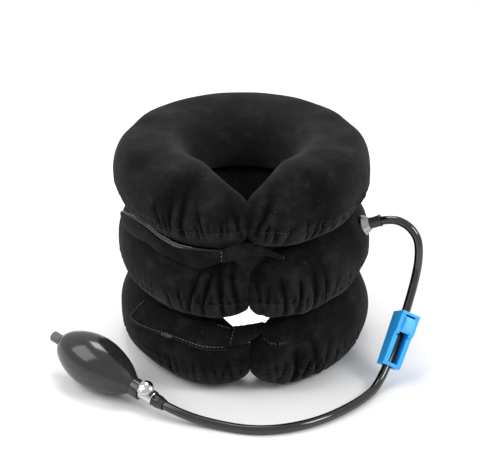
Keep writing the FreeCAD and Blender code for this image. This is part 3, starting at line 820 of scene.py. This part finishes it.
tape, tape_face, _ = strip("middle_strap_tape", bridging(TAPE_STATIONS, 0.0), TAPE_THICKNESS, WEBBING, 3)
cover, _, _ = strip("middle_strap_cloth", bridging(COVER_STATIONS, 1.5), CLOTH_THICKNESS, VELOUR, 4,
                    0.5 * MM)
band, band_face, band_normal = strip("middle_strap_webbing", bridging(MIDDLE_BAND_STATIONS, 1.6, 1.6),
                                     BAND_THICKNESS, VELOUR, 5, 0.45 * MM)
end_piece, _, _ = strip("middle_strap_end", lying(MIDDLE_ANCHOR_STATIONS, 1, 1.4), 1.3 * MM, VELOUR, 6,
                        0.2 * MM)
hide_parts("middle_strap_hook_tape")
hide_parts("middle_strap_cover")
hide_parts("middle_strap_band")
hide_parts("middle_strap_anchor")
for piece in (cover, band):
    fit_out(piece, "middle_strap")
fit_out(tape, "middle_strap")
fit_out(end_piece, "middle_tier")
up_way = np.tile([0.0, -0.25, 0.97], (STRAP_STEPS, 1))
upper_tape = edge_of(tape_face, 1.0)
fray = fringe("middle_strap_fray", upper_tape[:round(0.72 * STRAP_STEPS)], up_way, 80, 0.3 * MM, 1.2 * MM,
              0.06 * MM, 21, HOOK)
fit_out(fray, "middle_strap")
for k, (share, reach) in enumerate(((1.0, 0.76), (0.86, 0.70))):
    last = round(STRAP_STEPS * reach)
    line = [Vector(p) for p in edge_of(tape_face, share)[2 + 3 * k:last]]
    cord = tube_along(f"middle_strap_yarn_{k}", line, 0.13 * MM, HOOK, 8)
    fit_out(cord, "middle_strap")
strap_stitches("middle_strap_stitches", [
    (band_face[4, 3:-1], band_normal[4, 3:-1]),
], "middle_strap")
end_way = np.tile([0.85, -0.45, 0.15], (STRAP_ACROSS, 1))
fray = fringe("middle_strap_end_fray", band_face[-2], end_way, 18, 0.6 * MM, 2.2 * MM, 0.06 * MM, 22, FRAY)
fit_out(fray, "middle_strap")

# ---- lower strap ----
LOW_PAD_STATIONS = [
    (-65, 13, -59.5, 52), (-56, 16, -53, 53), (-44, 22, -43, 54), (-36.5, 25, -36, 56),
    (-29, 26, -29, 60), (-18.5, 27, -18.3, 74), (-8.2, 36, -6.5, 90),
]
LOW_TAPE_STATIONS = [(a0, p0 - 0.6, a1, p1 + 0.6) for a0, p0, a1, p1 in LOW_PAD_STATIONS]
LOW_BAND_STATIONS = [
    ((-15.0, -128.0, 51.0), (-9.0, -106.0, 61.2)),
    ((-6.3, -124.4, 50.2), (-2.5, -104.8, 61.0)),
    ((3.5, -119.0, 49.8), (5.0, -101.0, 60.4)),
    ((12.0, -113.6, 53.0), (12.8, -97.8, 60.0)),
    ((18.6, -111.0, 57.4), (19.6, -95.2, 60.0)),
]
LOW_ANCHOR_STATIONS = [(11.2, 66, 13.6, 110), (14, 49, 16.5, 98), (18.4, 40, 20, 80), (22, 37, 24.6, 64)]
tape, _, _ = strip("lower_strap_tape", lying(LOW_TAPE_STATIONS, 0, 1.1), TAPE_THICKNESS, WEBBING, 13)
cover, low_face, low_normal = strip("lower_strap_cloth", lying(LOW_PAD_STATIONS, 0, 2.4),
                                    CLOTH_THICKNESS, VELOUR, 14, 0.5 * MM)
band, low_band_face, low_band_normal = strip("lower_strap_webbing", spanning(LOW_BAND_STATIONS, 1.6),
                                             BAND_THICKNESS, VELOUR, 15, 0.4 * MM)
end_piece, low_end_face, _ = strip("lower_strap_end", lying(LOW_ANCHOR_STATIONS, 0, 1.4), 1.4 * MM,
                                   VELOUR, 16, 0.2 * MM)
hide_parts("lower_strap_hook_tape")
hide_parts("lower_strap_cover")
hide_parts("lower_strap_band")
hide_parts("lower_strap_anchor")
for piece in (cover, band):
    fit_out(piece, "lower_strap")
fit_out(tape, "lower_strap")
fit_out(end_piece, "base")
strap_stitches("lower_strap_stitches", [
    (edge_of(low_face, 0.10)[4:-6], edge_of(low_normal, 0.10)[4:-6]),
    (edge_of(low_face, 0.92)[-24:-4], edge_of(low_normal, 0.92)[-24:-4]),
    (low_face[3, 2:-2], low_normal[3, 2:-2]),
    (low_band_face[8, 3:-3], low_band_normal[8, 3:-3]),
], "lower_strap")
right_way = np.tile([0.15, -0.55, -0.82], (STRAP_STEPS, 1))
fray = fringe("lower_strap_end_fray", edge_of(low_end_face, 0.0), right_way, 46, 0.4 * MM, 3.6 * MM,
              0.09 * MM, 23, FRAY)
fit_out(fray, "base")
tuft_edge = edge_of(low_face, 0.06)[round(STRAP_STEPS * 0.36):round(STRAP_STEPS * 0.50)]
down_way = np.tile([0.2, -0.8, -0.55], (len(tuft_edge), 1))
fray = fringe("lower_strap_tuft", tuft_edge, down_way, 150, 0.9 * MM, 3.6 * MM, 0.12 * MM, 24, FRAY)
fit_out(fray, "lower_strap")

# ---- hose ----
# The route's points, chosen along the hose from the fitting to the bulb's valve.
HOSE_ROUTE = [
    FITTING_SEAT + FITTING_AXIS * HOSE_START * MM,
    Vector((142.5, -35.0, 142.9)) * MM,
    Vector((161.1, -41.9, 137.4)) * MM,
    Vector((171.5, -48.4, 120.7)) * MM,
    CLAMP_LOW + CLAMP_AXIS * HOSE_ABOVE * MM,
    CLAMP_LOW - CLAMP_AXIS * HOSE_BELOW * MM,
    Vector((108.0, -151.0, 4.25)) * MM,
    Vector((64.0, -187.0, 4.25)) * MM,
    Vector((15.0, -200.5, 4.25)) * MM,
    Vector((-31.0, -186.5, 4.25)) * MM,
    NECK_END + BULB_AXIS * HOSE_BEFORE_VALVE * MM,
    NECK_END + BULB_AXIS * HOSE_END * MM,
]


def spline_points(name, route):
    """Points along the smooth curve that has the route as its control points."""
    data = bpy.data.curves.new(name, "CURVE")
    data.dimensions = "3D"
    spline = data.splines.new("NURBS")
    spline.points.add(len(route) - 1)
    for point, place in zip(spline.points, route):
        point.co = (*place, 1)
    spline.order_u = 3
    spline.use_endpoint_u = True
    spline.resolution_u = SPLINE_STEPS
    holder = bpy.data.objects.new(name, data)
    bpy.context.scene.collection.objects.link(holder)
    bpy.context.view_layer.update()
    mesh = bpy.data.meshes.new_from_object(holder.evaluated_get(bpy.context.evaluated_depsgraph_get()))
    points = [v.co.copy() for v in mesh.vertices]
    bpy.data.objects.remove(holder)
    return points


hose_line = spline_points("hose_line", HOSE_ROUTE)
hose = tube_along("hose", hose_line, HOSE_DIAMETER / 2, TUBING)
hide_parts("air_hose")

materials_of_nodes = {
    "fitting_body": TURNED, "fitting_nut": TURNED, "fitting_washer": DARK, "hose_ferrule": DARK,
    "clamp_body": BLUE, "bulb": RUBBER, "bulb_neck_band": RUBBER,
    "inlet_cap": CAP_GREY, "inlet_check_ball": STEEL, "valve_body": CHROME, "outlet_check_ball": STEEL,
    "valve_screw": CHROME, "valve_knob": CHROME, "hose_cuff": RUBBER,
}
for node, material in materials_of_nodes.items():
    mesh = nodes[node].data
    mesh.materials.clear()
    mesh.materials.append(material)

# ---- the roller's ribbed drum ----
clamp_side = CLAMP_AXIS.cross(CLAMP_FRONT).normalized()
clamp_out = clamp_side.cross(CLAMP_AXIS).normalized()
clamp_middle = CLAMP_LOW + CLAMP_AXIS * (CLAMP_LENGTH / 2 - 0.5 * MM)
drum_at = clamp_middle + CLAMP_AXIS * DRUM_ALONG + clamp_out * DRUM_OUT
rings = []
for along, radius, depth in ((-1.0, 0.90, 0.0), (-0.97, 0.95, 0.4), (-0.90, 0.985, 1.0), (0.90, 0.985, 1.0),
                             (0.97, 0.95, 0.4), (1.0, 0.90, 0.0)):
    ring = []
    for k in range(RIBS * 6):
        a = 2 * math.pi * k / (RIBS * 6)
        rib = RIB_DEPTH * depth * math.cos(a * RIBS)
        spoke = CLAMP_AXIS * math.cos(a) + clamp_out * math.sin(a)
        ring.append(drum_at + clamp_side * DRUM_HALF * along + spoke * (DRUM_RADIUS * radius + rib))
    rings.append(ring)
drum = lofted("clamp_roller_drum", rings, LIGHT_BLUE)
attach(drum, "clamp_roller")
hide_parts("clamp_roller")

# ---- rounded edges of the moulded and turned pieces ----
ROUNDED = {"clamp_body": 0.5, "fitting_body": 0.25, "hose_ferrule": 0.3, "valve_body": 0.25,
           "valve_knob": 0.2, "inlet_cap": 0.25, "hose_cuff": 0.3, "bulb_neck_band": 0.2}
for node, width in ROUNDED.items():
    bevel = nodes[node].modifiers.new("rounded", "BEVEL")
    bevel.width = width * MM
    bevel.segments = 3
    bevel.limit_method = "ANGLE"
    bevel.angle_limit = math.radians(40)
    bevel.harden_normals = False

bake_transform(hose)
